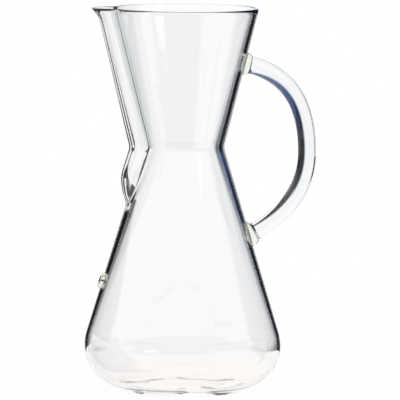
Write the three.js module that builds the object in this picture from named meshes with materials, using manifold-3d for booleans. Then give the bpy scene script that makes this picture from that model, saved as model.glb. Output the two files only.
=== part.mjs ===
// A pour-over coffee maker in clear glass. An hourglass vessel is funnel and flask in one, with a
// pouring channel pressed into its funnel, and a bent glass rod is its handle. Two fused pads carry
// the rod, and a glass button marks a level on the flask.
// Millimetres and degrees, +Z up, standing on z = 0, spout towards -X and handle towards +X.

import * as THREE from 'three';
import { mergeVertices } from 'three/addons/utils/BufferGeometryUtils.js';
import Module from 'manifold-3d';

const wasm = await Module();
wasm.setup();

// Vessel, outer sizes and thickness of its wall
const HEIGHT = 210;
const RIM_RADIUS = 40.2;
const WAIST_RADIUS = 22.2;
const WAIST_HEIGHT = 134;
const WAIST_FILLET = 7;
const BODY_RADIUS = 53.6;
const HEEL_RADIUS = 24;
const HEEL_WALL = 1.7;
const WAIST_WALL = 3;
const RIM_WALL = 2.2;
const BASE_THICKNESS = 1.7;

// Feet under the base
const FOOT_COUNT = 4;
const FOOT_HEIGHT = 1.8;
const FOOT_INNER_RADIUS = 24;
const FOOT_OUTER_RADIUS = 35;
const FOOT_SPAN = 55;
const FOOT_TURN = 55;
const FOOT_EDGE = 0.6;

// Pouring channel, half widths and heights on the outside of the wall
const CHANNEL_DEPTH = 8;
const CHANNEL_RIM_HALF_WIDTH = 13;
const CHANNEL_WAIST_HALF_WIDTH = 11;
const CHANNEL_FADE_HEIGHT = 122;
const CHANNEL_END_HEIGHT = 102.6;
const LIP_FLARE = 3.6;
const LIP_HEIGHT = 7;

// Handle rod and the pads that join it to the wall
const ROD_DIAMETER = 9.8;
const HANDLE_REACH = 67.6;
const HANDLE_REACH_HEIGHT = 131;
const UPPER_SEAT_HEIGHT = 179.5;
const LOWER_SEAT_HEIGHT = 86.1;
const LOWER_ROD_RISE = 30;
const UPPER_FULLNESS = 0.62;
const LOWER_FULLNESS = 0.54;
const UPPER_PAD_DIAMETER = 12.4;
const LOWER_PAD_DIAMETER = 13.6;
const PAD_LENGTH = 2.6;
const PAD_SHOULDER = 0.4;

// Level button
const BUTTON_DIAMETER = 9.5;
const BUTTON_HEIGHT = 2.1;
const BUTTON_LEVEL = 60.7;

// Gap between pieces that are fused on the real object
const CLEARANCE = 0.3;

// Fineness of the facets
const CHANNEL_COLUMNS = 8;
const WALL_COLUMNS = 16;
const HALF_COLUMNS = CHANNEL_COLUMNS + WALL_COLUMNS;
const ARC_STEPS = 4;
const FADE_STEPS = 6;
const WALL_STEPS = 5;
const ROD_STEPS = 44;
const ROUND_STEPS = 8;

const degrees = THREE.MathUtils.degToRad;
const BASE_HEIGHT = FOOT_HEIGHT;
const FLOOR_HEIGHT = BASE_HEIGHT + BASE_THICKNESS;

// Profile of the wall in the plane of radius and height: rounds at heel, waist and rim, joined by cones
const heelCentre = new THREE.Vector2(BODY_RADIUS - HEEL_RADIUS, BASE_HEIGHT + HEEL_RADIUS);
const waistCentre = new THREE.Vector2(WAIST_RADIUS + WAIST_FILLET, WAIST_HEIGHT);
const rimCentre = new THREE.Vector2(RIM_RADIUS - RIM_WALL / 2, HEIGHT - RIM_WALL / 2);

const flaskCone = coneBetween(heelCentre, HEEL_RADIUS, WAIST_FILLET, -1);
const funnelCone = coneBetween(rimCentre, RIM_WALL / 2, WAIST_FILLET, 1);

// Inside, the heel's round is lifted along the wall by as much as the base is thicker than the wall
const floorLift = BASE_THICKNESS - HEEL_WALL;
const alongWall = new THREE.Vector2(-Math.tan(flaskCone.angle), 1);
const innerHeelCentre = alongWall.clone().multiplyScalar(floorLift).add(heelCentre);
const innerHeelRadius = HEEL_RADIUS - HEEL_WALL;
const innerWaistRadius = WAIST_FILLET + WAIST_WALL;

const outerFace = {
  heel: heelCentre,
  heelRadius: HEEL_RADIUS,
  waistRadius: WAIST_FILLET,
  flask: flaskCone,
  funnel: funnelCone,
  insetAt: () => 0,
};
const innerFace = {
  heel: innerHeelCentre,
  heelRadius: innerHeelRadius,
  waistRadius: innerWaistRadius,
  flask: coneBetween(innerHeelCentre, innerHeelRadius, innerWaistRadius, -1),
  funnel: coneBetween(rimCentre, -RIM_WALL / 2, innerWaistRadius, 1),
  insetAt: wallAt,
};

/** Thickness of the wall at a height: thickest at the waist, and thinner towards heel and rim. */
function wallAt(height) {
  const end = height < WAIST_HEIGHT ? heelCentre.y : HEIGHT;
  const endWall = height < WAIST_HEIGHT ? HEEL_WALL : RIM_WALL;
  const share = THREE.MathUtils.clamp((height - WAIST_HEIGHT) / (end - WAIST_HEIGHT), 0, 1);
  return THREE.MathUtils.lerp(WAIST_WALL, endWall, share);
}

/** The straight wall that touches the waist's round on one side and another round on the other. */
function coneBetween(centre, radius, waistRadius, side) {
  const way = waistCentre.clone().sub(centre);
  const lean = Math.acos((radius + waistRadius) / way.length());
  const angle = Math.atan2(way.y, way.x) + side * lean;
  const normal = new THREE.Vector2(Math.cos(angle), Math.sin(angle));
  return { angle: Math.atan2(normal.y, normal.x), normal, offset: normal.dot(centre) + radius };
}

/** Radius of a cone at a height. */
function coneRadius(cone, height) {
  return (cone.offset - cone.normal.y * height) / cone.normal.x;
}

/** Rows of the profile along an arc, from one angle to another. */
function arcRows(centre, radius, from, to, steps, insetAt) {
  return Array.from({ length: steps + 1 }, (_, step) => {
    const share = step / steps;
    const angle = THREE.MathUtils.lerp(from, to, share);
    const height = centre.y + radius * Math.sin(angle);
    return { radius: centre.x + radius * Math.cos(angle), height, inset: insetAt(height, share) };
  });
}

/** Rows of the profile on a cone, at the given heights. */
function coneRows(cone, heights, insetAt) {
  return heights.map((height) => ({ radius: coneRadius(cone, height), height, inset: insetAt(height) }));
}

/** Evenly spaced heights strictly between two others. */
function heightsBetween(low, high, steps) {
  return Array.from({ length: steps - 1 }, (_, step) => THREE.MathUtils.lerp(low, high, (step + 1) / steps));
}

/** One face of the wall, outer or inner, from the heel to just under the rim. */
function wallRows({ heel, heelRadius, waistRadius, flask, funnel, insetAt }) {
  const under = arcRows(heel, heelRadius, -Math.PI / 2, 0, 2 * ARC_STEPS, insetAt);
  const over = arcRows(heel, heelRadius, 0, flask.angle, ARC_STEPS / 2, insetAt).slice(1);
  const waist = arcRows(
    waistCentre, waistRadius, Math.PI + flask.angle, Math.PI + funnel.angle, ARC_STEPS, insetAt,
  );
  const lipFoot = HEIGHT - LIP_HEIGHT;
  const lower = heightsBetween(over.at(-1).height, CHANNEL_END_HEIGHT, WALL_STEPS - 1);
  const fade = heightsBetween(CHANNEL_END_HEIGHT, CHANNEL_FADE_HEIGHT, FADE_STEPS);
  const upper = heightsBetween(waist.at(-1).height, lipFoot, WALL_STEPS);
  const lip = heightsBetween(lipFoot, rimCentre.y, 2);
  return [
    ...under,
    ...over,
    ...coneRows(flask, [...lower, CHANNEL_END_HEIGHT, ...fade, CHANNEL_FADE_HEIGHT], insetAt),
    ...waist,
    ...coneRows(funnel, [...upper, lipFoot, ...lip], insetAt),
  ];
}

/** The whole profile, from the axis under the base, over the rim and down to the axis on the floor. */
function vesselRows() {
  const overRim = (_, share) => share * RIM_WALL;
  const rim = arcRows(
    rimCentre, RIM_WALL / 2, funnelCone.angle, innerFace.funnel.angle + Math.PI, 2 * ARC_STEPS, overRim,
  );
  return [
    { radius: 0, height: BASE_HEIGHT, inset: 0 },
    ...wallRows(outerFace),
    ...rim,
    ...wallRows(innerFace).reverse(),
    { radius: 0, height: FLOOR_HEIGHT, inset: HEEL_WALL },
  ];
}

/** Half width and depth of the pouring channel at a height, that far inside the outer face. */
function channelAt(height, inset) {
  const rise = (height - WAIST_HEIGHT) / (HEIGHT - WAIST_HEIGHT);
  const width = THREE.MathUtils.lerp(
    CHANNEL_WAIST_HALF_WIDTH, CHANNEL_RIM_HALF_WIDTH, THREE.MathUtils.clamp(rise, 0, 1),
  );
  const above = (height - CHANNEL_END_HEIGHT) / (CHANNEL_FADE_HEIGHT - CHANNEL_END_HEIGHT);
  const share = THREE.MathUtils.clamp(above, 0, 1);
  const rounding = Math.sqrt(1 - (1 - share) ** 2);
  const swelling = Math.sin((share * Math.PI) / 2);
  const lip = THREE.MathUtils.clamp((height - HEIGHT + LIP_HEIGHT) / LIP_HEIGHT, 0, 1);
  const narrowest = 2 * WAIST_WALL;
  return {
    halfWidth: Math.max(width * rounding, narrowest) - inset,
    depth: CHANNEL_DEPTH * swelling + LIP_FLARE * lip ** 2,
  };
}

/** Place of a row's vertex on a column, counted from the middle of the channel to both sides. */
function wallSpot({ radius, height, inset }, column) {
  const channel = channelAt(height, inset);
  const crease = Math.asin(Math.min(channel.halfWidth / radius, 1));
  const count = Math.abs(column);
  const side = Math.sign(column);
  if (count <= CHANNEL_COLUMNS) {
    const turn = ((count / CHANNEL_COLUMNS) * Math.PI) / 2;
    const across = radius * Math.sin(crease) * Math.sin(turn);
    const along = Math.sqrt(radius ** 2 - across ** 2) + channel.depth * Math.cos(turn);
    return new THREE.Vector3(-along, -side * across, height);
  }
  const angle = THREE.MathUtils.lerp(crease, Math.PI, (count - CHANNEL_COLUMNS) / WALL_COLUMNS);
  return new THREE.Vector3(-radius * Math.cos(angle), -side * radius * Math.sin(angle), height);
}

/** A closed geometry as a solid: shared vertices merged, and triangles that collapsed left out. */
function solidOf(geometry) {
  const bare = new THREE.BufferGeometry();
  bare.setAttribute('position', geometry.attributes.position);
  bare.setIndex(geometry.index);
  const merged = mergeVertices(bare, 1e-4);
  const corners = merged.index.array;
  const kept = [];
  for (let first = 0; first < corners.length; first += 3) {
    const [a, b, c] = corners.slice(first, first + 3);
    if (a !== b && b !== c && c !== a) {
      kept.push(a, b, c);
    }
  }
  return new wasm.Manifold(new wasm.Mesh({
    numProp: 3,
    vertProperties: Float32Array.from(merged.attributes.position.array),
    triVerts: Uint32Array.from(kept),
  }));
}

/** A solid as a geometry with its normals. */
function geometryOf(solid) {
  const mesh = solid.getMesh();
  const geometry = new THREE.BufferGeometry();
  geometry.setAttribute('position', new THREE.BufferAttribute(mesh.vertProperties, 3));
  geometry.setIndex(new THREE.BufferAttribute(mesh.triVerts, 1));
  geometry.computeVertexNormals();
  return geometry;
}

/** A solid of revolution about +Z from points of radius and height. */
function turned(points, steps) {
  return new THREE.LatheGeometry(points, steps).rotateX(Math.PI / 2);
}

/** One foot: a sector of a flat ring with a small edge, from the ground up into the base. */
function footGeometry(turn) {
  const half = degrees(FOOT_SPAN) / 2;
  const outline = new THREE.Shape();
  outline.absarc(0, 0, FOOT_OUTER_RADIUS - FOOT_EDGE, turn - half, turn + half, false);
  outline.absarc(0, 0, FOOT_INNER_RADIUS + FOOT_EDGE, turn + half, turn - half, true);
  const foot = new THREE.ExtrudeGeometry(outline, {
    depth: FOOT_HEIGHT + BASE_THICKNESS / 2 - FOOT_EDGE,
    bevelThickness: FOOT_EDGE,
    bevelSize: FOOT_EDGE,
    bevelSegments: 1,
    curveSegments: ROUND_STEPS / 2,
  });
  return foot.translate(0, 0, FOOT_EDGE);
}

/** The blown vessel: the wall turned about its axis, the channel pressed out of it, and its feet. */
function vesselGeometry() {
  const rows = vesselRows();
  const points = rows.map((row) => new THREE.Vector2(row.radius, row.height));
  const wall = new THREE.LatheGeometry(points, 2 * HALF_COLUMNS);
  const position = wall.attributes.position;
  for (let index = 0; index < position.count; index += 1) {
    const column = Math.floor(index / rows.length) - HALF_COLUMNS;
    const spot = wallSpot(rows[index % rows.length], column);
    position.setXYZ(index, spot.x, spot.y, spot.z);
  }
  let vessel = solidOf(wall);
  for (let foot = 0; foot < FOOT_COUNT; foot += 1) {
    const turn = degrees(FOOT_TURN) + (foot * 2 * Math.PI) / FOOT_COUNT;
    vessel = vessel.add(solidOf(footGeometry(turn)));
  }
  return geometryOf(vessel);
}

/** The space the vessel and a clearance around it take up, which trims what is fused to the wall. */
function wallTrim() {
  const rows = [...wallRows(outerFace), { radius: coneRadius(funnelCone, HEIGHT), height: HEIGHT }];
  const grown = rows.map((row) => new THREE.Vector2(row.radius + CLEARANCE, row.height));
  const bottom = new THREE.Vector2(0, BASE_HEIGHT);
  const top = new THREE.Vector2(0, HEIGHT);
  return solidOf(turned([bottom, ...grown, top], 4 * HALF_COLUMNS));
}

/** Where something sits on the outside of a cone, and the direction in which it leaves. */
function seatOn(cone, height, side, rise) {
  const place = new THREE.Vector3(side * coneRadius(cone, height), 0, height);
  const leaving = new THREE.Vector3(side * Math.cos(rise), 0, Math.sin(rise));
  return { place, leaving };
}

/** A point that far out from a seat. */
function outFrom(seat, distance) {
  return seat.leaving.clone().multiplyScalar(distance).add(seat.place);
}

/** A turned piece set on its seat and trimmed to the wall under it. */
function seated(points, seat) {
  const piece = turned(points, 2 * ROUND_STEPS);
  const turn = new THREE.Quaternion().setFromUnitVectors(new THREE.Vector3(0, 0, 1), seat.leaving);
  piece.applyQuaternion(turn);
  piece.translate(seat.place.x, seat.place.y, seat.place.z);
  return geometryOf(solidOf(piece).subtract(wallTrim()));
}

/** Points of a quarter of an ellipse, from its rim on the seat up to its top on the axis. */
function domePoints(radius, height) {
  return new THREE.EllipseCurve(0, 0, radius, height, 0, Math.PI / 2).getPoints(ROUND_STEPS / 2);
}

/** A fused pad: a swollen collar that narrows from the wall to the rod. */
function padGeometry(seat, diameter) {
  const end = ROD_DIAMETER / 2 + PAD_SHOULDER;
  const sunk = -diameter / 2;
  const swell = domePoints(diameter / 2 - end, PAD_LENGTH);
  swell.forEach((point) => point.setX(point.x + end));
  const points = [new THREE.Vector2(0, sunk), new THREE.Vector2(diameter / 2, sunk), ...swell];
  return seated([...points, new THREE.Vector2(0, PAD_LENGTH)], seat);
}

/** The level button: a low dome of glass on the wall. */
function buttonGeometry() {
  const seat = seatOn(flaskCone, BUTTON_LEVEL, -1, flaskCone.angle);
  const radius = BUTTON_DIAMETER / 2;
  const sunk = -BUTTON_HEIGHT;
  const dome = domePoints(radius, BUTTON_HEIGHT);
  return seated([new THREE.Vector2(0, sunk), new THREE.Vector2(radius, sunk), ...dome], seat);
}

/** A half of the rod's path, from where it leaves a pad to its outermost point. */
function halfPath(seat, fullness) {
  const start = outFrom(seat, PAD_LENGTH + CLEARANCE);
  const outermost = new THREE.Vector3(HANDLE_REACH, 0, HANDLE_REACH_HEIGHT);
  const pull = fullness * (HANDLE_REACH - start.x);
  const drop = fullness * (start.z - HANDLE_REACH_HEIGHT);
  const first = seat.leaving.clone().multiplyScalar(pull).add(start);
  const second = outermost.clone().setZ(HANDLE_REACH_HEIGHT + drop);
  return [start, first, second, outermost];
}

/** The handle: a solid round rod bent from the upper pad out and down to the lower pad. */
function handleGeometry(upperSeat, lowerSeat) {
  const path = new THREE.CurvePath();
  path.add(new THREE.CubicBezierCurve3(...halfPath(upperSeat, UPPER_FULLNESS)));
  path.add(new THREE.CubicBezierCurve3(...halfPath(lowerSeat, LOWER_FULLNESS).reverse()));
  const section = new THREE.Shape().absarc(0, 0, ROD_DIAMETER / 2, 0, 2 * Math.PI, false);
  const rod = new THREE.ExtrudeGeometry(section, {
    steps: ROD_STEPS, extrudePath: path, curveSegments: ROUND_STEPS, bevelEnabled: false,
  });
  return geometryOf(solidOf(rod));
}

const clearGlass = { color: 0xf1f5f4, roughness: 0.04, metalness: 0, transparent: true, opacity: 0.35 };

/** A named piece of clear glass. */
function glassPiece(name, geometry) {
  const piece = new THREE.Mesh(geometry, new THREE.MeshStandardMaterial(clearGlass));
  piece.name = name;
  return piece;
}

const upperSeat = seatOn(funnelCone, UPPER_SEAT_HEIGHT, 1, funnelCone.angle);
const lowerSeat = seatOn(flaskCone, LOWER_SEAT_HEIGHT, 1, degrees(LOWER_ROD_RISE));

const coffeeMaker = new THREE.Group();
coffeeMaker.add(
  glassPiece('vessel', vesselGeometry()),
  glassPiece('handle', handleGeometry(upperSeat, lowerSeat)),
  glassPiece('handle_upper_weld', padGeometry(upperSeat, UPPER_PAD_DIAMETER)),
  glassPiece('handle_lower_weld', padGeometry(lowerSeat, LOWER_PAD_DIAMETER)),
  glassPiece('level_button', buttonGeometry()),
);

// The origin lies under the middle of the whole outline, so the vessel's axis stands beside it
const handleEdge = HANDLE_REACH + ROD_DIAMETER / 2;
const spoutEdge = Math.max(BODY_RADIUS, RIM_RADIUS + CHANNEL_DEPTH + LIP_FLARE);
coffeeMaker.position.x = (spoutEdge - handleEdge) / 2;

export default coffeeMaker;
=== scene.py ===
"""Looks of a clear glass pour-over coffee maker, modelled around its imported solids.

Metres, +Z up, spout towards -X and handle towards +X. The vessel is one blown wall with a pouring
channel pressed into its funnel. A bent rod, two fused pads and a level button are joined to it.
"""

import logging
import math
from dataclasses import dataclass, field
from enum import Enum

import bmesh
import bpy
from bmesh.types import BMEdge, BMesh, BMLayerItem, BMVert
from bpy.types import Material, Node, NodeSocket, NodeTree, Object, ShaderNodeTree
from mathutils import Matrix, Quaternion, Vector
from mathutils.geometry import interpolate_bezier


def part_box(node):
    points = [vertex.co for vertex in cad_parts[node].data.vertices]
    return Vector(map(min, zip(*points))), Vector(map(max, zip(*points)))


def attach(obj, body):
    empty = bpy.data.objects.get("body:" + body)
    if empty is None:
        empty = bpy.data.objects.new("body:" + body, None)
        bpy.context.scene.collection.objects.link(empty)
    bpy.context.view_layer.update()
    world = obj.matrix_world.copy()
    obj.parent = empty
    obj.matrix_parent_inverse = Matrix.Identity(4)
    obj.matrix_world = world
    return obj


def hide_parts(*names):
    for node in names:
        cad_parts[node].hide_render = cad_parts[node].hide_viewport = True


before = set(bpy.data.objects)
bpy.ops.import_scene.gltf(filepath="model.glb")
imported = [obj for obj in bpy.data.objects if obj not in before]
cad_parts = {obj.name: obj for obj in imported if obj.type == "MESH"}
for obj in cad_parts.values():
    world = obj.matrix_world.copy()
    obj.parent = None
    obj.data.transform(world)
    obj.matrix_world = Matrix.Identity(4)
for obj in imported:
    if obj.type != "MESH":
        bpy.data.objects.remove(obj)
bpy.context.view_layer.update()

log = logging.getLogger("coffee_maker")

MM = 0.001
BODY = "root"
# Mesh attribute that carries the painted shade along the channel's creases
PAINTED_CREASE_SHADE = "painted_crease_shade"
FUSED_GAP = 0.06 * MM
MERGE_DISTANCE = 1e-7
SEATING_STEPS = 8
NO_INSET = (0.0, 0.0)
WHITE = (1.0, 1.0, 1.0, 1.0)

# Sockets of a Mix node for colours, which share their names with its sockets for other values
MIX_FIRST = 6
MIX_SECOND = 7
MIX_RESULT = 2

Tone = tuple[float, float, float]


class Side(Enum):
    """Side of the vessel that a piece is fused to."""

    SPOUT = -1
    HANDLE = 1


def share_of(value: float, low: float, high: float) -> float:
    """Share of the way from low to high, held between 0 and 1."""
    return min(max((value - low) / (high - low), 0.0), 1.0)


def eased(value: float, low: float, high: float) -> float:
    """Share of the way from low to high with a soft start and end."""
    share = share_of(value, low, high)
    return share * share * (3.0 - 2.0 * share)


def between(low: float, high: float, share: float) -> float:
    """Value at a share of the way from low to high."""
    return low + (high - low) * share


@dataclass(frozen=True)
class Round:
    """A round of the wall's profile: a circle in the plane of reach from the axis and level.

    Attributes:
        reach: Distance of the centre from the axis.
        level: Height of the centre.
        radius: Radius of the circle.
    """

    reach: float
    level: float
    radius: float

    def grown(self, by: float) -> "Round":
        """The round about the same centre, that much larger."""
        return Round(self.reach, self.level, self.radius + by)

    def lifted(self, along: float, up: float) -> "Round":
        """The same round, moved out and up."""
        return Round(self.reach + along, self.level + up, self.radius)

    def spot(self, angle: float) -> tuple[float, float]:
        """Reach and level of the point at an angle."""
        return self.reach + self.radius * math.cos(angle), self.level + self.radius * math.sin(angle)


@dataclass(frozen=True)
class Cone:
    """A straight stretch of the wall.

    Attributes:
        angle: Slope of its outward normal above the horizon.
        offset: Distance of its outer face from the origin along that normal.
    """

    angle: float
    offset: float

    @classmethod
    def touching(cls, outer: Round, waist: Round, turn: int) -> "Cone":
        """The wall that touches the waist's round from inside and another round from outside.

        Args:
            outer: The round at the far end of the stretch.
            waist: The round of the waist, whose centre lies outside the vessel.
            turn: Which of the two common tangents, 1 or -1.

        Returns:
            The cone through both rounds.
        """
        along, up = waist.reach - outer.reach, waist.level - outer.level
        lean = math.acos((outer.radius + waist.radius) / math.hypot(along, up))
        angle = math.atan2(up, along) + turn * lean
        offset = outer.reach * math.cos(angle) + outer.level * math.sin(angle) + outer.radius
        return cls(math.atan2(math.sin(angle), math.cos(angle)), offset)

    def reach_at(self, level: float) -> float:
        """Distance of the outer face from the axis at a level."""
        return (self.offset - math.sin(self.angle) * level) / math.cos(self.angle)

    def clearance(self, point: Vector) -> float:
        """How far a point lies outside the outer face."""
        reach = math.hypot(point.x, point.y)
        return reach * math.cos(self.angle) + point.z * math.sin(self.angle) - self.offset

    def drop(self, point: Vector, along: Vector, gap: float) -> Vector:
        """Slides a point along a direction until it lies a gap outside the outer face.

        Args:
            point: The point to slide, in the vessel's own frame.
            along: The direction to slide in.
            gap: How far from the wall it ends.

        Returns:
            The point on its seat.
        """
        seated = point.copy()
        for _ in range(SEATING_STEPS):
            out = Vector((seated.x, seated.y, 0.0)).normalized() * math.cos(self.angle)
            out.z = math.sin(self.angle)
            seated = seated + along * ((gap - self.clearance(seated)) / out.dot(along))
        return seated


@dataclass(frozen=True)
class WallProfile:
    """Profile of the blown wall: rounds at heel, waist and rim, joined by two cones."""

    height: float = 210 * MM
    rim_radius: float = 40.2 * MM
    waist_radius: float = 22.2 * MM
    waist_level: float = 134 * MM
    waist_fillet: float = 7 * MM
    body_radius: float = 53.6 * MM
    heel_radius: float = 24 * MM
    heel_wall: float = 1.7 * MM
    waist_wall: float = 3 * MM
    rim_wall: float = 2.2 * MM
    base_thickness: float = 1.7 * MM
    base_level: float = 1.8 * MM

    @property
    def heel(self) -> Round:
        """The round between base and flask."""
        reach = self.body_radius - self.heel_radius
        return Round(reach, self.base_level + self.heel_radius, self.heel_radius)

    @property
    def waist(self) -> Round:
        """The round of the waist, with its centre outside the vessel."""
        return Round(self.waist_radius + self.waist_fillet, self.waist_level, self.waist_fillet)

    @property
    def rim(self) -> Round:
        """The round of the rim, as wide as the wall there."""
        half = self.rim_wall / 2
        return Round(self.rim_radius - half, self.height - half, half)

    @property
    def flask(self) -> Cone:
        """The wall between heel and waist."""
        return Cone.touching(self.heel, self.waist, -1)

    @property
    def funnel(self) -> Cone:
        """The wall between waist and rim."""
        return Cone.touching(self.rim, self.waist, 1)

    @property
    def inner_heel(self) -> Round:
        """The round between floor and flask on the inside."""
        lift = self.base_thickness - self.heel_wall
        return self.heel.grown(-self.heel_wall).lifted(-math.tan(self.flask.angle) * lift, lift)

    @property
    def inner_waist(self) -> Round:
        """The round of the waist on the inside."""
        return self.waist.grown(self.waist_wall)

    @property
    def inner_flask(self) -> Cone:
        """The inside of the wall between heel and waist."""
        return Cone.touching(self.inner_heel, self.inner_waist, -1)

    @property
    def inner_funnel(self) -> Cone:
        """The inside of the wall between waist and rim, which passes inside the rim's round."""
        return Cone.touching(self.rim.grown(-self.rim_wall), self.inner_waist, 1)


class Outline:
    """A chain of edges in the XZ plane, drawn stretch by stretch, to be spun about the Z axis."""

    def __init__(self) -> None:
        """Starts an empty chain."""
        self.bm: BMesh = bmesh.new()
        # Layer for the painted shade along the channel's creases
        self.bm.verts.layers.float.new(PAINTED_CREASE_SHADE)
        self.inset = self.bm.verts.layers.float.new("inset")
        self.end: BMVert | None = None

    def line(self, reach: float, level: float, inset: float = 0.0, cuts: int = 0) -> None:
        """Draws a straight stretch to a point.

        Args:
            reach: Distance of the point from the axis.
            level: Height of the point.
            inset: How far inside the outer face the point lies.
            cuts: Number of points added along the stretch.
        """
        target = Vector((reach, 0.0, level))
        if self.end is None:
            self.end = self.bm.verts.new(target)
            return
        start, start_inset = self.end.co.copy(), self.end[self.inset]
        for step in range(1, cuts + 2):
            share = step / (cuts + 1)
            self.end = bmesh.ops.extrude_vert_indiv(self.bm, verts=[self.end])["verts"][0]
            self.end.co = start.lerp(target, share)
            self.end[self.inset] = between(start_inset, inset, share)

    def arc(self, bend: Round, start: float, end: float, steps: int, insets: tuple[float, float],
            cuts: int = 0) -> None:
        """Draws a straight stretch to a round and then follows the round.

        Args:
            bend: The round to follow.
            start: Angle at which the chain joins the round.
            end: Angle at which it leaves.
            steps: Number of edges along the round.
            insets: How far inside the outer face the arc starts and ends.
            cuts: Number of points added along the straight stretch.
        """
        self.line(*bend.spot(start), insets[0], cuts)
        drawn = set(self.bm.verts)
        made = bmesh.ops.spin(
            self.bm, geom=[self.end], cent=(bend.reach, 0.0, bend.level), axis=(0.0, -1.0, 0.0),
            angle=end - start, steps=steps,
        )
        self.end = next(item for item in made["geom_last"] if isinstance(item, BMVert))
        for vert in set(self.bm.verts) - drawn:
            turn = math.atan2(vert.co.z - bend.level, vert.co.x - bend.reach) - start
            share = (turn % math.copysign(math.tau, end - start)) / (end - start)
            vert[self.inset] = between(*insets, share)

    def spun(self, columns: int) -> BMesh:
        """Spins the chain about the Z axis into a closed shell.

        Args:
            columns: Number of columns of faces round the axis.

        Returns:
            The shell's mesh.
        """
        bmesh.ops.spin(
            self.bm, geom=self.bm.verts[:] + self.bm.edges[:], cent=(0.0, 0.0, 0.0),
            axis=(0.0, 0.0, 1.0), angle=math.tau, steps=columns, use_merge=True,
        )
        bmesh.ops.remove_doubles(self.bm, verts=self.bm.verts[:], dist=MERGE_DISTANCE)
        bmesh.ops.recalc_face_normals(self.bm, faces=self.bm.faces[:])
        return self.bm


def extruded(bm: BMesh, chain: list[BMEdge]) -> tuple[list[BMVert], list[BMEdge]]:
    """Extrudes a chain of edges.

    Args:
        bm: The mesh.
        chain: The edges.

    Returns:
        The vertices and edges of the new chain, which still lies on the old one.
    """
    made = bmesh.ops.extrude_edge_only(bm, edges=chain)["geom"]
    verts = {item for item in made if isinstance(item, BMVert)}
    edges = [item for item in made if isinstance(item, BMEdge) and verts.issuperset(item.verts)]
    return list(verts), edges


def linked(name: str, bm: BMesh) -> Object:
    """Makes an object of a mesh and puts it into the scene.

    Args:
        name: Name of the object and of its mesh.
        bm: The mesh, which is freed.

    Returns:
        The object, at the origin.
    """
    mesh = bpy.data.meshes.new(name)
    bm.to_mesh(mesh)
    bm.free()
    made = bpy.data.objects.new(name, mesh)
    bpy.context.scene.collection.objects.link(made)
    return made


def finished(name: str, bm: BMesh, axis: float) -> Object:
    """Makes an object of a mesh that was modelled about the vessel's axis.

    Args:
        name: Name of the piece.
        bm: The mesh, which is freed.
        axis: X of the vessel's axis in the row frame.

    Returns:
        The object, at the origin, with its place in its mesh.
    """
    bmesh.ops.translate(bm, vec=(axis, 0.0, 0.0), verts=bm.verts[:])
    bmesh.ops.recalc_face_normals(bm, faces=bm.faces[:])
    if bm.calc_volume(signed=True) < 0.0:
        bmesh.ops.reverse_faces(bm, faces=bm.faces[:])
    piece = linked(name, bm)
    piece.data.shade_smooth()
    return piece


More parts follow.
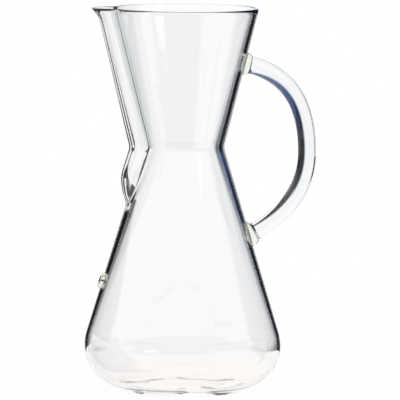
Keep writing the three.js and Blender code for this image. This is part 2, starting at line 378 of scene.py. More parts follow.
@dataclass(frozen=True)
class PouringChannel:
    """The channel pressed out of the wall on the spout's side, from the rim to below the waist.

    Attributes:
        profile: The wall's profile.
        depth: How far its middle stands out of the wall.
        rim_half_width: Half its width at the rim.
        waist_half_width: Half its width at the waist.
        fade_level: Height below which it runs out into the wall.
        end_level: Height at which it ends.
        lip_flare: How much further its lip leans out.
        lip_height: Height of the lip.
        column_share: Share of the wall's columns that lie in it.
        crease_columns: Columns on each side of a crease that are rounded with it.
        crease_smoothing: Strength of each round of smoothing there.
        crease_shade_columns: Width in columns of the painted shade along a crease, at the waist and at
            the rim.
        crease_shade_line: Half width in columns of the painted dark line along each side of that shade.
        crease_shade_fill: Strength of the painted shade between the lines.
        crease_shade_at_rim: Its strength at the rim, where it is 1 at the waist.
    """

    profile: WallProfile
    depth: float = 8 * MM
    rim_half_width: float = 13 * MM
    waist_half_width: float = 11 * MM
    fade_level: float = 122 * MM
    end_level: float = 102.6 * MM
    lip_flare: float = 3.6 * MM
    lip_height: float = 7 * MM
    column_share: float = 0.3
    crease_columns: int = 9
    crease_smoothing: float = 0.5
    crease_shade_columns: tuple[float, float] = (2.0, 9.0)
    crease_shade_line: float = 1.3
    crease_shade_fill: float = 0.4
    crease_shade_at_rim: float = 0.55

    def rise_at(self, level: float) -> float:
        """Share of the way from waist to rim at a level."""
        return share_of(level, self.profile.waist_level, self.profile.height)

    def half_width(self, level: float, inset: float) -> float:
        """Half width of the channel.

        Args:
            level: Height at which it is measured.
            inset: How far inside the outer face it is measured.

        Returns:
            The half width, never less than the wall needs to bend.
        """
        width = between(self.waist_half_width, self.rim_half_width, self.rise_at(level))
        below = 1.0 - share_of(level, self.end_level, self.fade_level)
        narrowest = 2 * self.profile.waist_wall
        return max(width * math.sqrt(1.0 - below * below), narrowest) - inset

    def depth_at(self, level: float) -> float:
        """How far the middle of the channel stands out of the wall.

        Args:
            level: Height at which it is measured.

        Returns:
            The depth, with the lip's flare.
        """
        swelling = math.sin(share_of(level, self.end_level, self.fade_level) * math.pi / 2)
        lip = share_of(level, self.profile.height - self.lip_height, self.profile.height)
        return self.depth * swelling + self.lip_flare * lip * lip

    def spot(self, reach: float, level: float, inset: float, turn: float) -> Vector:
        """Place of a point of the spun wall once the channel is pressed into it.

        Args:
            reach: Distance of the point from the axis.
            level: Height of the point.
            inset: How far inside the outer face it lies.
            turn: Its angle about the axis, from the middle of the channel.

        Returns:
            The point's new place.
        """
        share = abs(turn) / math.pi
        side = math.copysign(1.0, turn)
        if reach < MERGE_DISTANCE:
            return Vector((0.0, 0.0, level))
        crease = math.asin(min(self.half_width(level, inset) / reach, 1.0))
        if share <= self.column_share:
            lean = share / self.column_share * math.pi / 2
            across = reach * math.sin(crease) * math.sin(lean)
            along = math.sqrt(reach * reach - across * across) + self.depth_at(level) * math.cos(lean)
            return Vector((-along, side * across, level))
        angle = between(crease, math.pi, (share - self.column_share) / (1.0 - self.column_share))
        return Vector((-reach * math.cos(angle), side * reach * math.sin(angle), level))

    # Painted shade: the dark lines and grey-green band along the channel's creases stand for the dark
    # edges that refraction draws there, over the faint green of thicker glass.
    def crease_shade_at(self, level: float, inside: float) -> float:
        """How much painted shade lies along the crease: a band with a dark line along each side.

        Args:
            level: Height of the point.
            inside: Columns from the crease towards the middle of the channel.

        Returns:
            The share, from 0 to 1, of a band that narrows from the rim to the waist and ends there.
        """
        if level < self.profile.waist_level:
            return 0.0
        rise = self.rise_at(level)
        width = between(*self.crease_shade_columns, rise)
        lines = max(1.0 - abs(inside - edge) / self.crease_shade_line for edge in (0.0, width))
        fill = self.crease_shade_fill if 0.0 <= inside <= width else 0.0
        return max(lines, fill) * between(1.0, self.crease_shade_at_rim, rise)

    def press(self, bm: BMesh, inset: BMLayerItem, columns: int) -> None:
        """Presses the channel into the spun wall and rounds its creases.

        Args:
            bm: The wall's mesh.
            inset: The layer that says how far inside the outer face a vertex lies.
            columns: Number of columns of faces round the axis.
        """
        painted_crease_shade = bm.verts.layers.float[PAINTED_CREASE_SHADE]
        from_crease: dict[BMVert, float] = {}
        for vert in bm.verts:
            turn = math.atan2(vert.co.y, -vert.co.x)
            inside = (self.column_share - abs(turn) / math.pi) * columns / 2
            # Painted shade along the creases, stored on each vertex for the glass material
            vert[painted_crease_shade] = self.crease_shade_at(vert.co.z, inside)
            from_crease[vert] = abs(inside)
            reach = math.hypot(vert.co.x, vert.co.y)
            vert.co = self.spot(reach, vert.co.z, vert[inset], turn)
        pressed = [vert for vert in bm.verts if vert.co.z > self.end_level]
        for width in range(self.crease_columns, 0, -1):
            near = [vert for vert in pressed if from_crease[vert] <= width]
            bmesh.ops.smooth_vert(
                bm, verts=near, factor=self.crease_smoothing, use_axis_x=True, use_axis_y=True,
                use_axis_z=False,
            )


@dataclass(frozen=True)
class Feet:
    """Low feet pressed out of the base, each a sector of a flat ring."""

    count: int = 4
    inner_radius: float = 24 * MM
    outer_radius: float = 35 * MM
    span: float = math.radians(55)
    turn: float = math.radians(55)
    soft_edge: float = 4.5 * MM

    def press(self, bm: BMesh, inset: BMLayerItem, profile: WallProfile) -> None:
        """Lowers the underside of the base to the ground where the feet are.

        Args:
            bm: The wall's mesh.
            inset: The layer that says how far inside the outer face a vertex lies.
            profile: The wall's profile.
        """
        soft_turn = self.soft_edge / self.outer_radius
        pitch = math.tau / self.count
        highest = profile.base_level + self.soft_edge
        for vert in bm.verts:
            if vert[inset] > 0.0 or vert.co.z > highest:
                continue
            reach = math.hypot(vert.co.x, vert.co.y)
            turn = math.atan2(vert.co.y, vert.co.x) - self.turn
            off = abs((turn + pitch / 2) % pitch - pitch / 2)
            ring = eased(reach, self.inner_radius - self.soft_edge, self.inner_radius)
            ring *= 1.0 - eased(reach, self.outer_radius - self.soft_edge, self.outer_radius)
            sector = 1.0 - eased(off, self.span / 2 - soft_turn, self.span / 2 + soft_turn)
            vert.co.z *= 1.0 - ring * sector


@dataclass
class Vessel:
    """Funnel and flask in one blown wall, with its pouring channel and feet."""

    axis: float
    profile: WallProfile
    channel: PouringChannel
    feet: Feet = field(default_factory=Feet)
    columns: int = 240
    base_cuts: int = 24
    heel_steps: int = 36
    flask_cuts: int = 44
    waist_steps: int = 10
    funnel_cuts: int = 30
    rim_steps: int = 12

    def build(self) -> Object:
        """Spins the wall, and presses channel and feet.

        Returns:
            The vessel.
        """
        shape = self.profile
        flask, funnel = shape.flask.angle, shape.funnel.angle
        inner_flask, inner_funnel = shape.inner_flask.angle, shape.inner_funnel.angle
        heel, waist, rim = shape.heel_wall, shape.waist_wall, shape.rim_wall
        outline = Outline()
        outline.line(0.0, shape.base_level)
        outline.arc(shape.heel, -math.pi / 2, flask, self.heel_steps, NO_INSET, self.base_cuts)
        outline.arc(
            shape.waist, math.pi + flask, math.pi + funnel, self.waist_steps, NO_INSET, self.flask_cuts,
        )
        outline.arc(
            shape.rim, funnel, math.pi + inner_funnel, self.rim_steps, (0.0, rim), self.funnel_cuts,
        )
        outline.arc(
            shape.inner_waist, math.pi + inner_funnel, math.pi + inner_flask, self.waist_steps,
            (waist, waist), self.funnel_cuts,
        )
        outline.arc(
            shape.inner_heel, inner_flask, -math.pi / 2, self.heel_steps, (heel, heel), self.flask_cuts,
        )
        outline.line(0.0, shape.base_level + shape.base_thickness, heel, self.base_cuts // 2)
        bm = outline.spun(self.columns)
        self.channel.press(bm, outline.inset, self.columns)
        self.feet.press(bm, outline.inset, shape)
        return finished("vessel_wall", bm, self.axis)


@dataclass(frozen=True)
class Seat:
    """Where something is fused to the wall.

    Attributes:
        cone: The stretch of wall that carries it.
        side: The side of the vessel.
        level: Height of its middle on the wall.
        rise: Slope above the horizon of the direction in which it leaves.
    """

    cone: Cone
    side: Side
    level: float
    rise: float

    @property
    def place(self) -> Vector:
        """The point on the wall."""
        return Vector((self.side.value * self.cone.reach_at(self.level), 0.0, self.level))

    @property
    def leaving(self) -> Vector:
        """The direction in which it leaves the wall."""
        return Vector((self.side.value * math.cos(self.rise), 0.0, math.sin(self.rise)))

    @property
    def matrix(self) -> Matrix:
        """From a piece standing on the ground to the piece standing on the wall."""
        turn = self.leaving.to_track_quat("Z", "Y").to_matrix().to_4x4()
        return Matrix.Translation(self.place) @ turn

    def fuse(self, bm: BMesh, height: float) -> None:
        """Sets a mesh that stands on the ground on the wall, its foot following the wall.

        Args:
            bm: The mesh.
            height: Its height on the ground, up to which it is fitted.
        """
        for vert in bm.verts:
            stand = self.matrix @ Vector((vert.co.x, vert.co.y, 0.0))
            foot = self.cone.drop(stand, self.leaving, FUSED_GAP)
            top = self.matrix @ Vector((vert.co.x, vert.co.y, height))
            vert.co = foot.lerp(top, vert.co.z / height)


@dataclass
class FusedPad:
    """A collar of glass fused between the wall and an end of the rod."""

    name: str
    axis: float
    seat: Seat
    diameter: float
    end_diameter: float
    length: float
    foot_round: float = 0.5 * MM
    columns: int = 64
    steps: int = 10

    def build(self) -> Object:
        """Spins the collar and sets it on the wall.

        Returns:
            The collar.
        """
        foot = Round(self.diameter / 2 - self.foot_round, self.foot_round, self.foot_round)
        swell = Round(self.end_diameter / 2, self.foot_round, (self.diameter - self.end_diameter) / 2)
        outline = Outline()
        outline.line(0.0, 0.0)
        outline.arc(foot, -math.pi / 2, 0.0, self.steps // 2, NO_INSET, self.steps)
        outline.arc(swell, 0.0, math.pi / 2, self.steps, NO_INSET)
        outline.line(0.0, swell.level + swell.radius, cuts=self.steps)
        bm = outline.spun(self.columns)
        stretch = (self.length - swell.level) / swell.radius
        upper = [vert for vert in bm.verts if vert.co.z > swell.level]
        bmesh.ops.translate(bm, vec=(0.0, 0.0, -swell.level), verts=upper)
        bmesh.ops.scale(bm, vec=(1.0, 1.0, stretch), verts=upper)
        bmesh.ops.translate(bm, vec=(0.0, 0.0, swell.level), verts=upper)
        self.seat.fuse(bm, self.length)
        return finished(self.name, bm, self.axis)


@dataclass
class LevelButton:
    """A low dome of glass on the flask that marks a filling level."""

    axis: float
    seat: Seat
    diameter: float = 9.5 * MM
    height: float = 2.1 * MM
    columns: int = 64
    steps: int = 14

    def build(self) -> Object:
        """Spins the dome and sets it on the wall.

        Returns:
            The button.
        """
        dome = Round(0.0, 0.0, self.diameter / 2)
        outline = Outline()
        outline.line(0.0, 0.0)
        outline.arc(dome, 0.0, math.pi / 2, self.steps, NO_INSET, self.steps)
        bm = outline.spun(self.columns)
        bmesh.ops.scale(bm, vec=(1.0, 1.0, self.height / dome.radius), verts=bm.verts[:])
        self.seat.fuse(bm, self.height)
        return finished("level_button_dome", bm, self.axis)


@dataclass
class Handle:
    """A solid round rod, bent from the upper pad out and down to the lower pad."""

    axis: float
    upper: Seat
    lower: Seat
    pad_length: float
    diameter: float = 9.8 * MM
    reach: float = 67.6 * MM
    reach_level: float = 131 * MM
    upper_fullness: float = 0.62
    lower_fullness: float = 0.54
    end_round: float = 0.8 * MM
    end_segments: int = 4
    segments: int = 56
    steps: int = 72

    def half_path(self, seat: Seat, fullness: float) -> list[Vector]:
        """Points of the rod's middle line from a pad to its outermost point.

        Args:
            seat: Where the pad sits.
            fullness: How far the line follows its end directions, as a share of its span.

        Returns:
            The points, from the pad outwards.
        """
        start = seat.place + seat.leaving * (self.pad_length + FUSED_GAP)
        outermost = Vector((self.reach, 0.0, self.reach_level))
        pull = seat.leaving * (fullness * (self.reach - start.x))
        drop = Vector((0.0, 0.0, fullness * (start.z - self.reach_level)))
        return interpolate_bezier(start, start + pull, outermost + drop, outermost, self.steps)

    def build(self) -> Object:
        """Extrudes the rod's section along its middle line and rounds its ends.

        Returns:
            The rod.
        """
        path = self.half_path(self.upper, self.upper_fullness)
        path += self.half_path(self.lower, self.lower_fullness)[-2::-1]
        ways = [after - before for before, after in zip(path, path[1:])]
        bends = [before + after for before, after in zip(ways, ways[1:])]
        headings = [self.upper.leaving, *bends, -self.lower.leaving]
        sections = [self.section_at(spot, way) for spot, way in zip(path, headings)]
        bm = bmesh.new()
        bmesh.ops.create_circle(
            bm, cap_ends=False, segments=self.segments, radius=self.diameter / 2, matrix=sections[0],
        )
        first = ring = bm.edges[:]
        for before, after in zip(sections, sections[1:]):
            rim, ring = extruded(bm, ring)
            bmesh.ops.transform(bm, matrix=after @ before.inverted(), verts=rim)
        caps = bmesh.ops.edgeloop_fill(bm, edges=first + ring)["faces"]
        bmesh.ops.bevel(
            bm, geom=[edge for cap in caps for edge in cap.edges], offset=self.end_round,
            segments=self.end_segments, profile=0.5, affect="EDGES", material=-1,
        )
        return finished("handle_rod", bm, self.axis)

    @staticmethod
    def section_at(spot: Vector, way: Vector) -> Matrix:
        """Places the rod's section square to its middle line.

        Args:
            spot: Point of the middle line.
            way: Direction of the line there.

        Returns:
            From a section on the ground to the section on the line.
        """
        tangent = way.normalized()
        across = Vector((0.0, 1.0, 0.0))
        turn = Matrix((across.cross(tangent), across, tangent)).transposed()
        return Matrix.Translation(spot) @ turn.to_4x4()


def soft_mask(tree: NodeTree, value: NodeSocket, start: float,
              end: float) -> NodeSocket:
    """Adds a mask that goes softly from 0 to 1 with a value.

    Args:
        tree: The node tree.
        value: The value.
        start: The value at which the mask is 0.
        end: The value at which it is 1.

    Returns:
        The mask.
    """
    mask = tree.nodes.new("ShaderNodeMapRange")
    mask.interpolation_type = "SMOOTHSTEP"
    mask.inputs["From Min"].default_value = start
    mask.inputs["From Max"].default_value = end
    tree.links.new(value, mask.inputs["Value"])
    return mask.outputs["Result"]


def colour_mix(tree: NodeTree, mask: NodeSocket) -> Node:
    """Adds a mix of two colours.

    Args:
        tree: The node tree.
        mask: Share of the second colour.

    Returns:
        The node, its two colours still to be given.
    """
    mix = tree.nodes.new("ShaderNodeMix")
    mix.data_type = "RGBA"
    tree.links.new(mask, mix.inputs["Factor"])
    return mix


class GlassSurface:
    """Shader node group for hand-made glass: soft waviness, faint smudges and a shifting tint."""

    NAME = "hand_made_glass"
    INPUTS = (
        ("Vector", "Vector"), ("Wave Scale", "Float"), ("Smudge Scale", "Float"),
        ("Tint", "Color"), ("Shade", "Color"), ("Gloss", "Float"), ("Haze", "Float"),
    )
    OUTPUTS = (("Color", "Color"), ("Roughness", "Float"), ("Height", "Float"))
    WAVE_DETAIL = 1.5
    SMUDGE_DETAIL = 5.0
    SMUDGE_DISTORTION = 0.6
    SMUDGE_RANGE = (0.45, 0.75)

    @classmethod
    def group(cls) -> ShaderNodeTree:
        """The node group, built on first use."""
        return bpy.data.node_groups.get(cls.NAME) or cls.make()

    @classmethod
    def make(cls) -> ShaderNodeTree:
        """Builds the node group.

        Returns:
            The group, with the sockets that INPUTS and OUTPUTS name.
        """
        tree = bpy.data.node_groups.new(cls.NAME, "ShaderNodeTree")
        for in_out, sockets in (("INPUT", cls.INPUTS), ("OUTPUT", cls.OUTPUTS)):
            for name, kind in sockets:
                tree.interface.new_socket(name, in_out=in_out, socket_type=f"NodeSocket{kind}")
        nodes, links = tree.nodes, tree.links
        given = nodes.new("NodeGroupInput")
        result = nodes.new("NodeGroupOutput")
        waves = nodes.new("ShaderNodeTexNoise")
        waves.inputs["Detail"].default_value = cls.WAVE_DETAIL
        smudges = nodes.new("ShaderNodeTexNoise")
        smudges.inputs["Detail"].default_value = cls.SMUDGE_DETAIL
        smudges.inputs["Distortion"].default_value = cls.SMUDGE_DISTORTION
        tint = colour_mix(tree, waves.outputs["Fac"])
        haze = nodes.new("ShaderNodeMix")
        links.new(given.outputs["Vector"], waves.inputs["Vector"])
        links.new(given.outputs["Wave Scale"], waves.inputs["Scale"])
        links.new(given.outputs["Vector"], smudges.inputs["Vector"])
        links.new(given.outputs["Smudge Scale"], smudges.inputs["Scale"])
        links.new(soft_mask(tree, smudges.outputs["Fac"], *cls.SMUDGE_RANGE), haze.inputs["Factor"])
        links.new(given.outputs["Gloss"], haze.inputs["A"])
        links.new(given.outputs["Haze"], haze.inputs["B"])
        links.new(given.outputs["Tint"], tint.inputs[MIX_FIRST])
        links.new(given.outputs["Shade"], tint.inputs[MIX_SECOND])
        links.new(tint.outputs[MIX_RESULT], result.inputs["Color"])
        links.new(haze.outputs["Result"], result.inputs["Roughness"])
        links.new(waves.outputs["Fac"], result.inputs["Height"])
        return tree


@dataclass(frozen=True)
class GlassFinish:
    """Clear glass with the traces of how it was made.

    Attributes:
        name: Name of the material.
        slot: Name of a material slot, which is not used.
        tint: Colour that light takes on in passing a wall.
        shade: The same where the glass is deeper.
        stretch: How much finer the waviness is along each axis.
        wave_scale: Waves to the metre.
        wave_height: Height of the waviness.
        smudge_scale: Smudges to the metre.
        gloss: Roughness of the clean surface.
        haze: Roughness where it is smudged.
        ior: Index of refraction.
        painted_floor_tint: Painted reflection of a warm floor, tinting the glass near the ground, if it
            has one.
        painted_floor_level: Height up to which that painted reflection fades out.
        crease_shade_tint: Colour of the painted shade along the channel's creases, if it has one.
    """

    name: str
    slot: str
    tint: Tone
    shade: Tone
    stretch: tuple[float, float, float] = (1.0, 1.0, 1.0)
    wave_scale: float = 25.0
    wave_height: float = 0.05 * MM
    smudge_scale: float = 60.0
    gloss: float = 0.0
    haze: float = 0.02
    ior: float = 1.474
    painted_floor_tint: Tone | None = None
    painted_floor_level: float = 45 * MM
    crease_shade_tint: Tone | None = None

    def material(self) -> Material:
        """Builds the material.

        Returns:
            The material, whose tints change over the surface.
        """
        made = bpy.data.materials.new(self.name)
        made.use_nodes = True
        nodes, links = made.node_tree.nodes, made.node_tree.links
        shader = nodes["Principled BSDF"]
        shader.inputs["IOR"].default_value = self.ior
        shader.inputs["Transmission Weight"].default_value = 1.0
        place = nodes.new("ShaderNodeTexCoord")
        mapping = nodes.new("ShaderNodeMapping")
        mapping.inputs["Scale"].default_value = self.stretch
        surface = nodes.new("ShaderNodeGroup")
        surface.node_tree = GlassSurface.group()
        for socket, value in (
            ("Wave Scale", self.wave_scale), ("Smudge Scale", self.smudge_scale),
            ("Tint", (*self.tint, 1.0)), ("Shade", (*self.shade, 1.0)),
            ("Gloss", self.gloss), ("Haze", self.haze),
        ):
            surface.inputs[socket].default_value = value
        bump = nodes.new("ShaderNodeBump")
        bump.inputs["Strength"].default_value = 1.0
        bump.inputs["Distance"].default_value = self.wave_height
        links.new(place.outputs["Object"], mapping.inputs["Vector"])
        links.new(mapping.outputs["Vector"], surface.inputs["Vector"])
        colour = surface.outputs["Color"]
        # Painted reflection of a warm floor in the glass near the ground
        if self.painted_floor_tint:
            colour = self.tinted(made, colour, self.painted_floor_tint, self.painted_floor_mask(made, place))
        # Painted shade in the channel's creases, darkening the glass's colour along them
        if self.crease_shade_tint:
            painted_crease_shade = nodes.new("ShaderNodeAttribute")
            painted_crease_shade.attribute_name = PAINTED_CREASE_SHADE
            colour = self.tinted(made, colour, self.crease_shade_tint, painted_crease_shade.outputs["Fac"])
        links.new(colour, shader.inputs["Base Color"])
        links.new(surface.outputs["Roughness"], shader.inputs["Roughness"])
        links.new(surface.outputs["Height"], bump.inputs["Height"])
        links.new(bump.outputs["Normal"], shader.inputs["Normal"])
        return made

    def painted_floor_mask(self, made: Material, place: Node) -> NodeSocket:
        """Mask of the painted floor reflection: 1 on the ground, fading out up to painted_floor_level.

        Args:
            made: The material.
            place: Its texture coordinate node.

        Returns:
            The mask.
        """
        split = made.node_tree.nodes.new("ShaderNodeSeparateXYZ")
        made.node_tree.links.new(place.outputs["Object"], split.inputs["Vector"])
        return soft_mask(made.node_tree, split.outputs["Z"], self.painted_floor_level, 0.0)

    @staticmethod
    def tinted(made: Material, colour: NodeSocket, tint: Tone,
               mask: NodeSocket) -> NodeSocket:
        """Mixes a tint into a colour.

        Args:
            made: The material.
            colour: The colour.
            tint: The tint.
            mask: Share of the tint.

        Returns:
            The mixed colour.
        """
        mix = colour_mix(made.node_tree, mask)
        mix.inputs[MIX_SECOND].default_value = (*tint, 1.0)
        made.node_tree.links.new(colour, mix.inputs[MIX_FIRST])
        return mix.outputs[MIX_RESULT]

    def dress(self, piece: Object, node: str) -> Object:
        """Gives a piece this finish and lets it stand for its CAD node.

        Args:
            piece: The piece.
            node: Name of the CAD node.

        Returns:
            The same piece.
        """
        made = bpy.data.materials.get(self.name) or self.material()
        piece.data.materials.append(made)
        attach(piece, BODY)
        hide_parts(node)
        return piece


# The vessel's glass carries a painted reflection of a warm floor near the ground.
# The vessel's glass carries painted shade in its channel's creases.
BLOWN_GLASS = GlassFinish(
    "blown_glass", "vessel_glass", tint=(0.978, 0.98, 0.982), shade=(0.966, 0.971, 0.976),
    stretch=(1.0, 1.0, 0.35), painted_floor_tint=(0.992, 0.976, 0.962), crease_shade_tint=(0.34, 0.39, 0.36),
)
ROD_GLASS = GlassFinish(
    "drawn_glass", "rod_glass", tint=(0.96, 0.966, 0.97), shade=(0.95, 0.956, 0.966),
    wave_height=0.02 * MM,
)
WELD_GLASS = GlassFinish(
    "fused_glass", "weld_glass", tint=(0.93, 0.94, 0.88), shade=(0.88, 0.9, 0.8),
    wave_scale=160.0, wave_height=0.12 * MM,
)


@dataclass
class CoffeeMaker:
    """The whole object, its five pieces placed about the axis of the imported vessel."""

    profile: WallProfile = field(default_factory=WallProfile)
    upper_level: float = 179.5 * MM
    lower_level: float = 86.1 * MM
    lower_rise: float = math.radians(30)
    upper_pad_diameter: float = 12.4 * MM
    lower_pad_diameter: float = 13.6 * MM
    pad_shoulder: float = 0.4 * MM
    pad_length: float = 2.6 * MM
    button_level: float = 60.7 * MM

    def build(self) -> list[Object]:
        """Builds and dresses every piece.

        Returns:
            The pieces.
        """
        low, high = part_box("vessel")
        axis = (low.x + high.x) / 2
        flask, funnel = self.profile.flask, self.profile.funnel
        upper = Seat(funnel, Side.HANDLE, self.upper_level, funnel.angle)
        lower = Seat(flask, Side.HANDLE, self.lower_level, self.lower_rise)
        mark = Seat(flask, Side.SPOUT, self.button_level, flask.angle)
        vessel = Vessel(axis, self.profile, PouringChannel(self.profile))
        handle = Handle(axis, upper, lower, self.pad_length)
        pad_end = handle.diameter + 2 * self.pad_shoulder
        upper_pad = FusedPad(
            "upper_fused_pad", axis, upper, self.upper_pad_diameter, pad_end, self.pad_length,
        )
        lower_pad = FusedPad(
            "lower_fused_pad", axis, lower, self.lower_pad_diameter, pad_end, self.pad_length,
        )
        button = LevelButton(axis, mark)
        return [
            BLOWN_GLASS.dress(vessel.build(), "vessel"),
            ROD_GLASS.dress(handle.build(), "handle"),
            WELD_GLASS.dress(upper_pad.build(), "handle_upper_weld"),
            WELD_GLASS.dress(lower_pad.build(), "handle_lower_weld"),
            WELD_GLASS.dress(button.build(), "level_button"),
        ]


def grey(light: float) -> Tone:
    """A neutral tone."""
    return light, light, light


@dataclass(frozen=True)
class Card:
    """A card beside the object, which only the glass sees.

    Attributes:
        name: Name of the card.
        stops: Places along the card, each with the light that comes from there.
    """

    name: str
    stops: tuple[tuple[float, Tone], ...]

    TONE = "tone"
    MATERIAL = "studio_card"

    @property
    def ends(self) -> tuple[float, float]:
        """Places of the first and the last stop."""
        return self.stops[0][0], self.stops[-1][0]

    def tone_at(self, place: float) -> Tone:
        """Light that comes from a place along the card.

        Args:
            place: The place, in the units of the stops.

        Returns:
            The light, blended between the stops on both sides.
        """
        for (low, before), (high, after) in zip(self.stops, self.stops[1:]):
            if place <= high:
                return tuple(Vector(before).lerp(Vector(after), share_of(place, low, high)))
        return self.stops[-1][1]

    def place_of(self, spot: Vector) -> float:
        """Place along the card of a spot on it."""
        raise NotImplementedError

    def stand(self, bm: BMesh) -> None:
        """Makes the card of its mesh and hides it from everything but the glass.

        Args:
            bm: The mesh, which is freed.
        """
        layer = bm.verts.layers.float_color.new(self.TONE)
        for vert in bm.verts:
            vert[layer] = (*self.tone_at(self.place_of(vert.co)), 1.0)
        card = linked(self.name, bm)
        card.visible_camera = False
        card.visible_diffuse = False
        card.visible_shadow = False
        card.data.materials.append(bpy.data.materials.get(self.MATERIAL) or self.material())

    @classmethod
    def material(cls) -> Material:
        """Builds the material that all cards share.

        Returns:
            A glow in the card's own tones.
        """
        made = bpy.data.materials.new(cls.MATERIAL)
        made.use_nodes = True
        nodes, links = made.node_tree.nodes, made.node_tree.links
        nodes.remove(nodes["Principled BSDF"])
        tone = nodes.new("ShaderNodeAttribute")
        tone.attribute_name = cls.TONE
        glow = nodes.new("ShaderNodeEmission")
        links.new(tone.outputs["Color"], glow.inputs["Color"])
        links.new(glow.outputs["Emission"], nodes["Material Output"].inputs["Surface"])
        return made


@dataclass(frozen=True)
class RingCard(Card):
    """A card bent about the middle of the studio, its places bearings in degrees from +Y to +X.

    Attributes:
        radius: Distance of the card from the middle.
        bottom: Height of its lower edge.
        top: Height of its upper edge.
        steps_per_degree: Number of faces to a degree of bearing.
    """

    radius: float = 600 * MM
    bottom: float = 1 * MM
    top: float = 900 * MM
    steps_per_degree: int = 2

    def edge_points(self) -> tuple[tuple[float, float], ...]:
        """Reach and level of the points that are swept about the middle."""
        return (self.radius, self.bottom), (self.radius, self.top)

    def place_of(self, spot: Vector) -> float:
        """Bearing of a spot on the card.

        Args:
            spot: The spot.

        Returns:
            The bearing, within half a turn of the card's middle.
        """
        middle = sum(self.ends) / 2
        bearing = math.degrees(math.atan2(spot.x, spot.y))
        return middle + (bearing - middle + 180.0) % 360.0 - 180.0

    def build(self) -> None:
        """Builds the card."""
        first, last = self.ends
        outline = Outline()
        for reach, level in self.edge_points():
            outline.line(reach, level)
        bm = outline.bm
        turn = Matrix.Rotation(math.radians(90.0 - first), 3, "Z")
        bmesh.ops.rotate(bm, cent=(0.0, 0.0, 0.0), matrix=turn, verts=bm.verts[:])
        bmesh.ops.spin(
            bm, geom=bm.verts[:] + bm.edges[:], cent=(0.0, 0.0, 0.0), axis=(0.0, 0.0, 1.0),
            angle=math.radians(first - last), steps=self.steps_per_degree * round(last - first),
        )
        self.stand(bm)


@dataclass(frozen=True)
class GroundCard(RingCard):
    """A card that lies on the floor beside the object, as a sector of a ring.

    Attributes:
        inner_radius: Distance of its near edge from the middle, its far edge lying at radius.
    """

    inner_radius: float = 190 * MM

    def edge_points(self) -> tuple[tuple[float, float], ...]:
        """Reach and level of the points that are swept about the middle."""
        return (self.inner_radius, self.bottom), (self.radius, self.bottom)


@dataclass(frozen=True)
class SlopedCard(Card):
    """A flat card whose near edge follows the slope of the flask, its places metres from that edge.

    Attributes:
        distance: How far behind the object the near edge stands.
        edge: Points of the near edge, each its X and its height.
        heading: Bearing in degrees in which the card runs on from its near edge.
        rise: How much its upper edge climbs on the way, as a slope.
    """

    distance: float = 140 * MM
    edge: tuple[tuple[float, float], ...] = ()
    heading: float = 0.0
    rise: float = 0.0

    def place_of(self, spot: Vector) -> float:
        """Distance of a spot on the card from the near edge."""
        return (spot.y - self.distance) / math.cos(math.radians(self.heading))

    def build(self) -> None:
        """Builds the card."""
        bm = bmesh.new()
        points = [bm.verts.new((x, self.distance, level)) for x, level in self.edge]
        edges = [bm.edges.new(pair) for pair in zip(points, points[1:])]
        heading = math.radians(self.heading)
        way = Vector((math.sin(heading), math.cos(heading), 0.0))
        for (before, _), (after, _) in zip(self.stops, self.stops[1:]):
            verts, edges = extruded(bm, edges)
            bmesh.ops.translate(bm, vec=way * (after - before), verts=verts)
            max(verts, key=lambda vert: vert.co.z).co.z += self.rise * (after - before)
        self.stand(bm)


# The cards: dark ones draw the edges of the glass, blue ones show in the handle, and the soft box shines
LEFT_CARD = SlopedCard("left_card", (
    (0.0, grey(1.0)), (8 * MM, grey(0.8)), (13 * MM, grey(0.4)), (18 * MM, grey(0.12)),
    (24 * MM, grey(0.03)), (40 * MM, grey(0.012)), (600 * MM, grey(0.012)),
), edge=((-70 * MM, 1 * MM), (-40 * MM, 101 * MM)), heading=-45.0, rise=0.25)
LEFT_FLAG = RingCard("left_flag", (
    (-80.0, grey(1.0)), (-76.0, grey(0.015)), (-34.0, grey(0.015)), (-32.5, grey(1.0)),
), bottom=105 * MM, top=240 * MM)
RIGHT_FLAG = RingCard("right_flag", (
    (17.0, grey(1.0)), (19.0, (0.8, 0.82, 0.87)), (20.5, (0.52, 0.54, 0.6)), (22.0, (0.24, 0.26, 0.32)),
    (24.0, (0.08, 0.09, 0.13)), (27.0, (0.02, 0.02, 0.03)), (36.0, grey(0.01)), (96.0, grey(0.01)),
    (100.0, grey(1.0)),
))
NAVY_FLAG = RingCard("navy_flag", (
    (22.0, (0.24, 0.28, 0.4)), (24.0, (0.07, 0.09, 0.17)), (27.0, (0.02, 0.03, 0.07)),
    (64.0, (0.015, 0.025, 0.06)),
), radius=595 * MM, bottom=140 * MM, top=215 * MM)
BLUE_FLAG = RingCard("blue_flag", (
    (22.0, (0.24, 0.31, 0.5)), (24.0, (0.08, 0.13, 0.3)), (27.0, (0.045, 0.08, 0.2)),
    (64.0, (0.04, 0.075, 0.19)),
), radius=590 * MM, bottom=200 * MM, top=700 * MM)
RIGHT_GROUND = GroundCard("right_ground", (
    (20.0, grey(1.0)), (24.0, (0.5, 0.5, 0.53)), (27.0, (0.03, 0.03, 0.04)), (92.0, (0.03, 0.03, 0.04)),
    (100.0, grey(1.0)),
))
LEFT_GROUND = GroundCard("left_ground", (
    (-80.0, grey(1.0)), (-77.0, grey(0.02)), (-63.0, grey(0.02)), (-54.0, grey(1.0)),
), radius=640 * MM, inner_radius=180 * MM)
DARK_FRONT = RingCard("dark_front", (
    (100.0, grey(1.0)), (108.0, grey(0.2)), (240.0, grey(0.2)), (250.0, grey(1.0)),
), radius=900 * MM, top=300 * MM)
FRONT_GROUND = GroundCard("front_ground", (
    (155.0, grey(1.0)), (162.0, grey(0.05)), (238.0, grey(0.05)), (250.0, grey(1.0)),
))
SOFT_BOX = RingCard(
    "soft_box", ((129.0, grey(2.6)), (147.0, grey(2.6))), bottom=430 * MM, top=600 * MM,
)


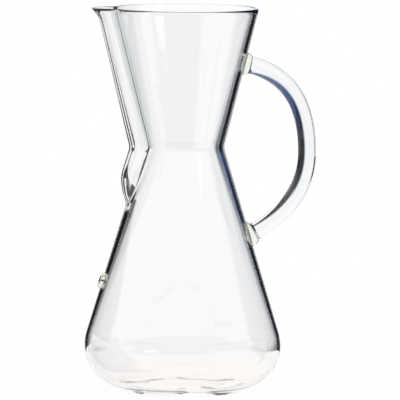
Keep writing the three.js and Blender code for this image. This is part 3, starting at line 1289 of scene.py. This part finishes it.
@dataclass
class Studio:
    """A white floor in a white room, with dark cards beside the glass that draw its edges.

    Attributes:
        floor_radius: Radius of the floor.
        floor_segments: Number of sides of the floor.
        floor_glow: Share of the floor's white that glows, the rest being lit.
        cards: The cards round the object.
    """

    floor_radius: float = 6000 * MM
    floor_segments: int = 96
    floor_glow: float = 0.96
    cards: tuple[Card, ...] = (
        LEFT_CARD, LEFT_FLAG, LEFT_GROUND, RIGHT_FLAG, NAVY_FLAG, BLUE_FLAG, RIGHT_GROUND, DARK_FRONT,
        FRONT_GROUND, SOFT_BOX,
    )

    def build(self) -> None:
        """Builds floor and cards, and lights the room."""
        self.light_room()
        bm = bmesh.new()
        bmesh.ops.create_circle(
            bm, cap_ends=True, segments=self.floor_segments, radius=self.floor_radius,
        )
        floor = linked("studio_floor", bm)
        floor.data.materials.append(self.floor_material())
        for card in self.cards:
            card.build()

    def floor_material(self) -> Material:
        """Builds the floor's material.

        Returns:
            White that keeps a faint shadow: part of it glows, and the rest is lit.
        """
        made = bpy.data.materials.new("white_floor")
        made.use_nodes = True
        shader = made.node_tree.nodes["Principled BSDF"]
        lit = 1.0 - self.floor_glow
        shader.inputs["Base Color"].default_value = (lit, lit, lit, 1.0)
        shader.inputs["Roughness"].default_value = 1.0
        shader.inputs["Specular IOR Level"].default_value = 0.0
        shader.inputs["Emission Color"].default_value = WHITE
        shader.inputs["Emission Strength"].default_value = self.floor_glow
        return made

    def light_room(self) -> None:
        """Lights everything evenly from a white world."""
        world = bpy.data.worlds.new("white_room")
        world.use_nodes = True
        background = world.node_tree.nodes["Background"]
        background.inputs["Color"].default_value = WHITE
        background.inputs["Strength"].default_value = 1.0
        bpy.context.scene.world = world


@dataclass
class PhotoCamera:
    """A long lens at the photograph's angle.

    Attributes:
        azimuth: Bearing of the camera about the origin, from straight in front.
        distance: Distance of the camera from the origin, on the ground.
        level: Height of the camera.
        aim: Point that it looks at.
        roll: Turn about its line of sight.
        lens: Focal length in millimetres.
        clip_end: Distance up to which it sees.
    """

    azimuth: float = math.radians(-6.46)
    distance: float = 6000 * MM
    level: float = 576 * MM
    aim: tuple[float, float, float] = (-0.44 * MM, 0.0, 104.8 * MM)
    roll: float = math.radians(0.457)
    lens: float = 991.7
    clip_end: float = 50000 * MM

    def build(self) -> None:
        """Sets up the camera."""
        data = bpy.data.cameras.new("photo_camera")
        data.lens = self.lens
        data.clip_end = self.clip_end
        camera = bpy.data.objects.new("photo_camera", data)
        bpy.context.scene.collection.objects.link(camera)
        away = Vector((math.sin(self.azimuth), -math.cos(self.azimuth), 0.0)) * self.distance
        camera.location = away + Vector((0.0, 0.0, self.level))
        facing = (Vector(self.aim) - camera.location).to_track_quat("-Z", "Y")
        camera.rotation_mode = "QUATERNION"
        camera.rotation_quaternion = facing @ Quaternion((0.0, 0.0, 1.0), self.roll)
        bpy.context.scene.camera = camera


def main() -> None:
    """Builds the object, the studio and the camera, and reports each piece."""
    logging.basicConfig(level=logging.INFO, format="%(name)s: %(message)s")
    bpy.context.scene.view_settings.view_transform = "Standard"
    for piece in CoffeeMaker().build():
        log.info("%s: %d faces", piece.name, len(piece.data.polygons))
    Studio().build()
    PhotoCamera().build()


if __name__ == "__main__":
    main()
